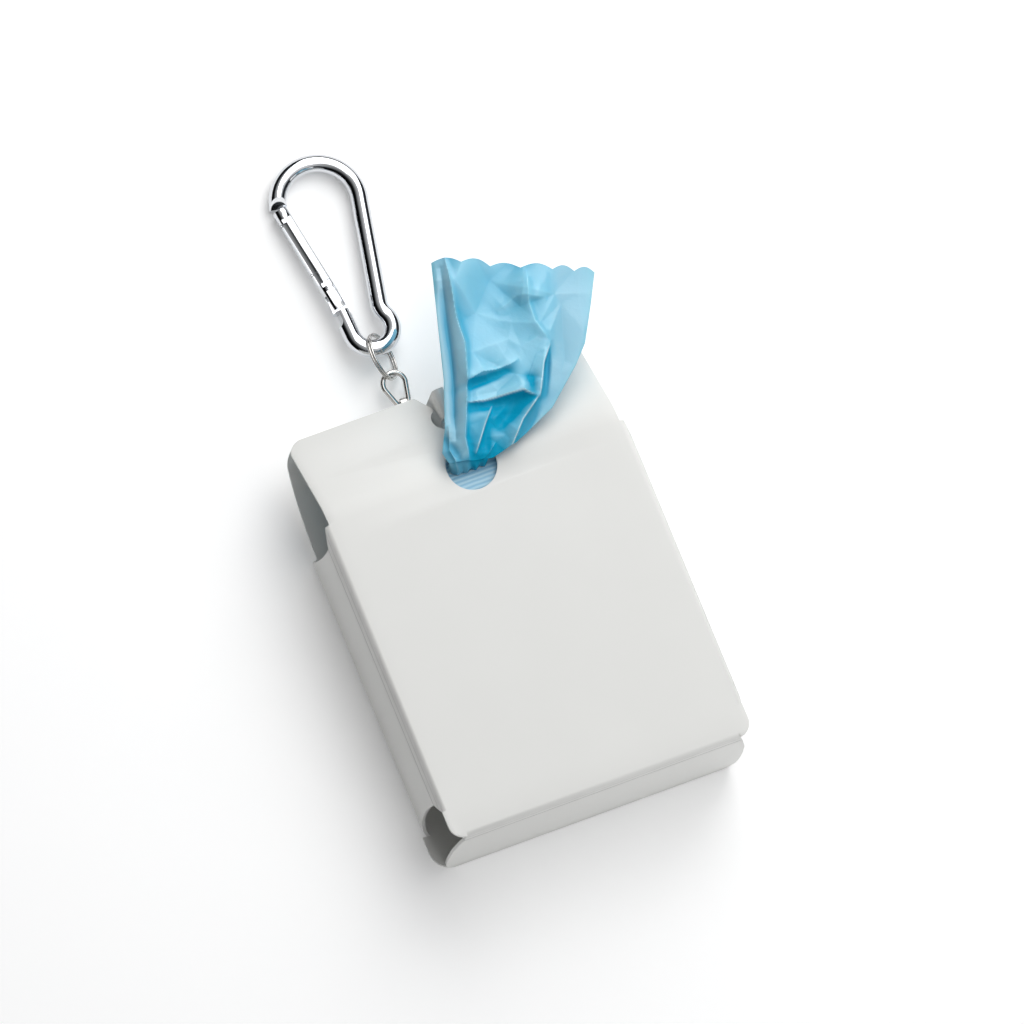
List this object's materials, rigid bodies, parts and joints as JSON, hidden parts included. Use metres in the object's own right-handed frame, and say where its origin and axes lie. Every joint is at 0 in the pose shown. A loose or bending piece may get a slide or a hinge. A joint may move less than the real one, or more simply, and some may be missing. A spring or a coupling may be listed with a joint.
{
  "type": "dog waste bag dispenser",
  "caption": "Folded plastic sheet pouch that dispenses bags from a roll through a thumb hole, with a closing strap, link chain and snap carabiner.",
  "frame": {"origin": "centre of the back panel's flat outer face", "axes": "+X to the right seen from the front, +Y up the pouch towards the carabiner, +Z out of the front panel"},
  "size_m": [0.0838, 0.1705, 0.0353],
  "materials": {
    "pouch_sheet": "satin extruded polypropylene sheet",
    "strap_sheet": "satin extruded polypropylene sheet",
    "nickel": "bright nickel plate",
    "chrome": "bright chrome plate",
    "spring_steel": "drawn steel wire",
    "card": "wound card tube",
    "roll_film": "wound polythene film",
    "bag_film": "crumpled thin polythene film"
  },
  "bodies": {
    "pouch": {"back_panel": "pouch_sheet", "front_panel": "pouch_sheet", "left_wall": "pouch_sheet", "right_wall": "pouch_sheet", "bottom_wall": "pouch_sheet", "sleeve_lap": "pouch_sheet"},
    "flap": {"front_flap": "pouch_sheet"},
    "strap": {"closing_strap": "strap_sheet", "strap_clip": "nickel", "clip_rivet": "nickel"},
    "link": {"pear_link": "nickel"},
    "ring": {"split_ring": "nickel"},
    "snap": {"carabiner_frame": "chrome", "gate_pin": "chrome"},
    "gate": {"gate_bar": "chrome", "gate_spring": "spring_steel", "gate_plunger": "spring_steel"},
    "roll": {"roll_core": "card", "bag_roll": "roll_film"},
    "bag": {"leading_bag": "bag_film"}
  },
  "joints": [
    {"name": "flap_hinge", "type": "hinge", "parent": "pouch", "child": "flap", "pos_m": [0, 0.04, 0.028], "axis": [1, 0, 0], "range_deg": [0, 70]},
    {"name": "strap_slide", "type": "slide", "parent": "pouch", "child": "strap", "axis": [0, 1, 0], "range_m": [0, 0.012]},
    {"name": "link_swing", "type": "hinge", "parent": "strap", "child": "link", "pos_m": [-0.0041, 0.0666, 0.0036], "axis": [1, 0, 0], "range_deg": [-60, 30]},
    {"name": "ring_swing", "type": "hinge", "parent": "link", "child": "ring", "pos_m": [-0.00477, 0.07427, 0.00482], "axis": [1, 0, 0], "range_deg": [-30, 15]},
    {"name": "snap_swing", "type": "hinge", "parent": "ring", "child": "snap", "pos_m": [-0.00477, 0.08089, 0.00482], "axis": [0.9994, -0.0349, 0], "range_deg": [-30, 15]},
    {"name": "gate_hinge", "type": "hinge", "parent": "snap", "child": "gate", "pos_m": [-0.00981, 0.09426, 0.00413], "axis": [-0.0018, -0.0523, -0.9986], "range_deg": [0, 26], "stiffness_Nm_per_rad": 0.01, "springref_deg": -17.19},
    {"name": "bag_pull", "type": "slide", "parent": "flap", "child": "bag", "axis": [0, 0, 1], "range_m": [0, 0.02]},
    {"name": "roll_spin", "type": "hinge", "parent": "pouch", "child": "roll", "pos_m": [0, 0.038, 0.0141], "axis": [1, 0, 0], "range_deg": [0, 100]}
  ],
  "couplings": [
    {"joint": "roll_spin", "follows": "bag_pull", "rad_per_m": 81.967}
  ]
}
